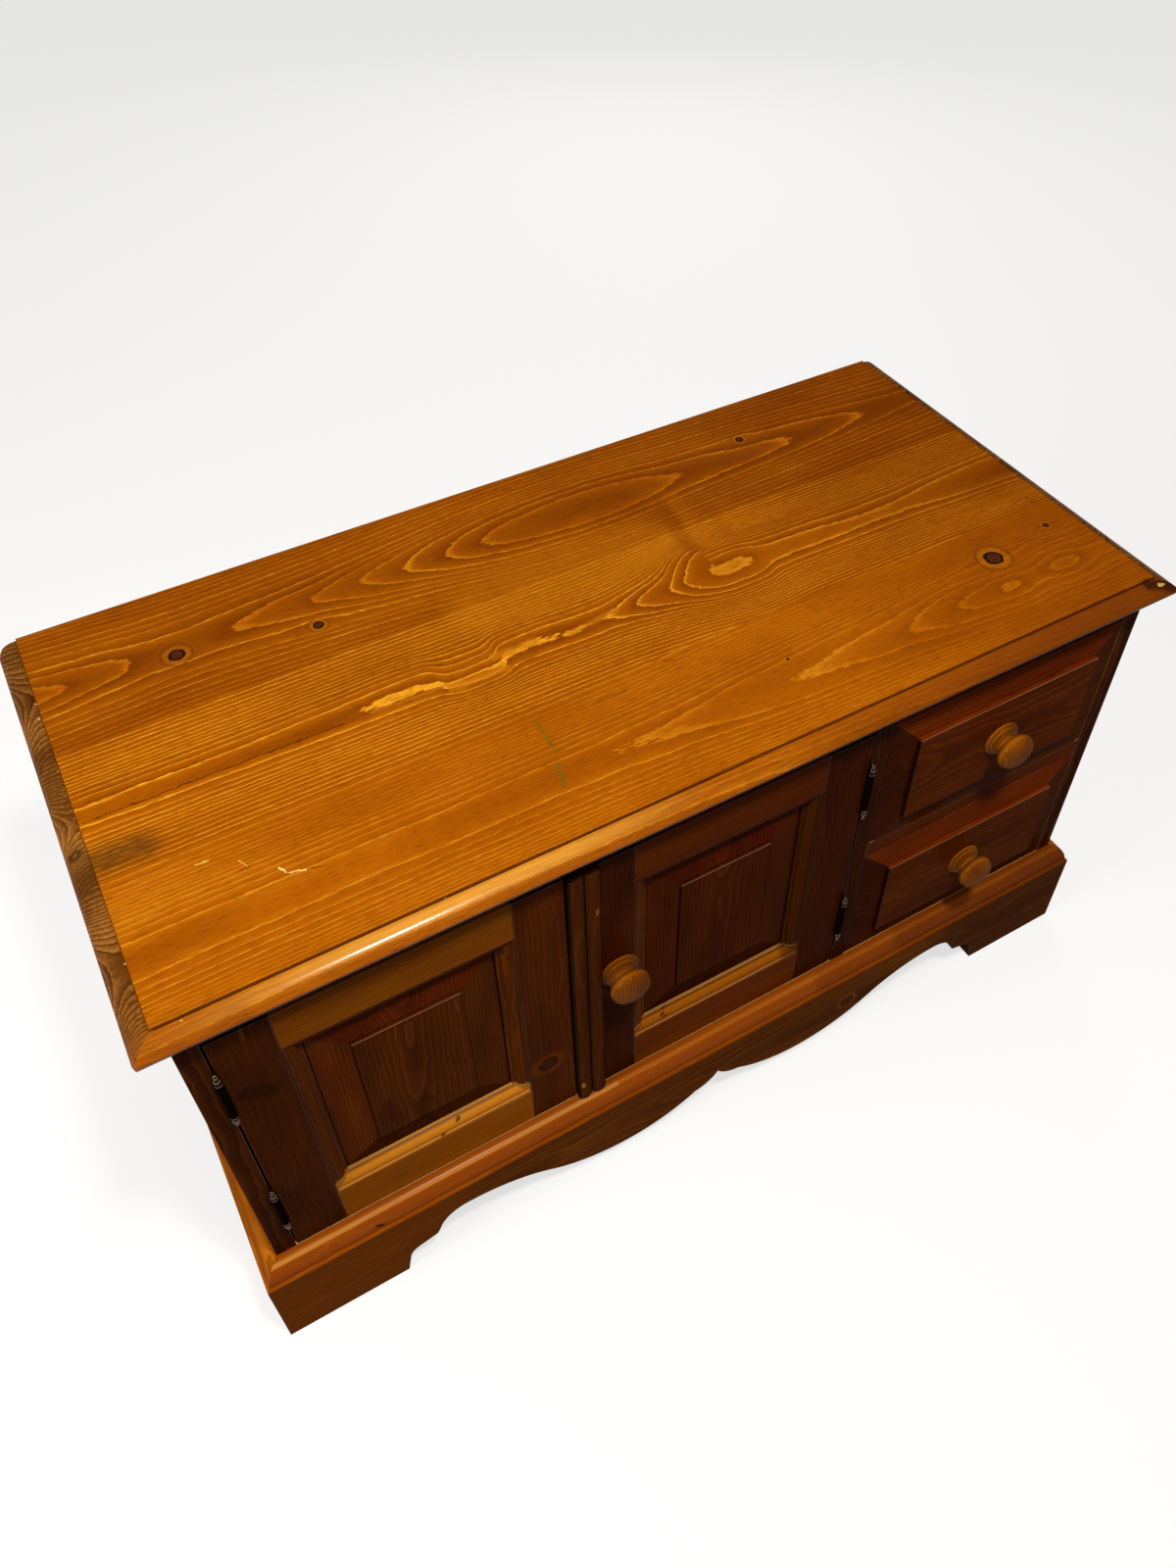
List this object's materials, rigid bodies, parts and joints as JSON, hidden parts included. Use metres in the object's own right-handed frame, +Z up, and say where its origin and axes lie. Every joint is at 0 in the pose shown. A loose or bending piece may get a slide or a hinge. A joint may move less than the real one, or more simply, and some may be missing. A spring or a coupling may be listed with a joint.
{
  "type": "low chest with doors and drawers",
  "caption": "Low pine chest with a moulded top, panelled cupboard doors with a double-bead astragal, fielded drawers, turned knobs and a scalloped bracket plinth.",
  "frame": {"origin": "on the floor, under the middle of the chest's width and of its depth from the drawer knobs to the back", "axes": "+X to the right as seen from the front, +Y towards the back, +Z up"},
  "size_m": [1.008, 0.5, 0.549],
  "materials": {
    "top_pine": "knotty pine, stained amber, glossy varnish, lightly worn",
    "front_pine": "knotty pine, stained red-brown, glossy varnish",
    "case_pine": "knotty pine, stained red-brown, satin varnish",
    "plinth_pine": "knotty pine, stained red-brown, glossy varnish",
    "knob_pine": "turned pine, stained golden, glossy varnish",
    "inside_pine": "bare pine, planed",
    "hinge_metal": "dark bronzed brass, worn bright on the finials",
    "steel": "zinc-plated steel",
    "catch_plastic": "brown moulded plastic"
  },
  "bodies": {
    "root": {"back_boards": "inside_pine", "back_top_rail": "inside_pine", "base_board": "inside_pine", "door_catches": "catch_plastic", "drawer_divider": "case_pine", "drawer_runners": "inside_pine", "drawer_stops": "inside_pine", "frame_hinge_screws": "steel", "front_top_rail": "case_pine", "left_hinge_frame_leaves": "hinge_metal", "left_hinge_pins": "hinge_metal", "left_side": "case_pine", "partition": "case_pine", "plinth_back": "plinth_pine", "plinth_corner_blocks": "inside_pine", "plinth_front": "plinth_pine", "plinth_left": "plinth_pine", "plinth_right": "plinth_pine", "right_hinge_frame_leaves": "hinge_metal", "right_hinge_pins": "hinge_metal", "right_side": "case_pine", "shelf": "inside_pine", "shelf_battens": "inside_pine", "top_fixing_screws": "steel", "top_panel": "top_pine"},
    "door_left": {"left_door_bottom_rail": "front_pine", "left_door_closing_stile": "front_pine", "left_door_hanging_stile": "front_pine", "left_door_hinge_leaves": "hinge_metal", "left_door_hinge_screws": "steel", "left_door_mouldings": "front_pine", "left_door_panel": "front_pine", "left_door_strike": "steel", "left_door_top_rail": "front_pine"},
    "door_right": {"right_door_astragal": "front_pine", "right_door_bottom_rail": "front_pine", "right_door_closing_stile": "front_pine", "right_door_hanging_stile": "front_pine", "right_door_hinge_leaves": "hinge_metal", "right_door_hinge_screws": "steel", "right_door_knob": "knob_pine", "right_door_knob_screw": "steel", "right_door_mouldings": "front_pine", "right_door_panel": "front_pine", "right_door_strike": "steel", "right_door_top_rail": "front_pine"},
    "drawer_lower": {"lower_drawer_back": "inside_pine", "lower_drawer_bottom": "inside_pine", "lower_drawer_front": "front_pine", "lower_drawer_knob": "knob_pine", "lower_drawer_knob_screw": "steel", "lower_drawer_left_side": "inside_pine", "lower_drawer_right_side": "inside_pine"},
    "drawer_upper": {"upper_drawer_back": "inside_pine", "upper_drawer_bottom": "inside_pine", "upper_drawer_front": "front_pine", "upper_drawer_knob": "knob_pine", "upper_drawer_knob_screw": "steel", "upper_drawer_left_side": "inside_pine", "upper_drawer_right_side": "inside_pine"}
  },
  "joints": [
    {"name": "left_door_hinge", "type": "hinge", "parent": "root", "child": "door_left", "pos_m": [-0.4603, -0.2138, 0.325], "axis": [0, 0, -1], "range_deg": [0, 110]},
    {"name": "right_door_hinge", "type": "hinge", "parent": "root", "child": "door_right", "pos_m": [0.1548, -0.2138, 0.325], "axis": [0, 0, 1], "range_deg": [0, 86]},
    {"name": "lower_drawer_slide", "type": "slide", "parent": "root", "child": "drawer_lower", "axis": [0, -1, 0], "range_m": [0, 0.3]},
    {"name": "upper_drawer_slide", "type": "slide", "parent": "root", "child": "drawer_upper", "axis": [0, -1, 0], "range_m": [0, 0.3]}
  ]
}
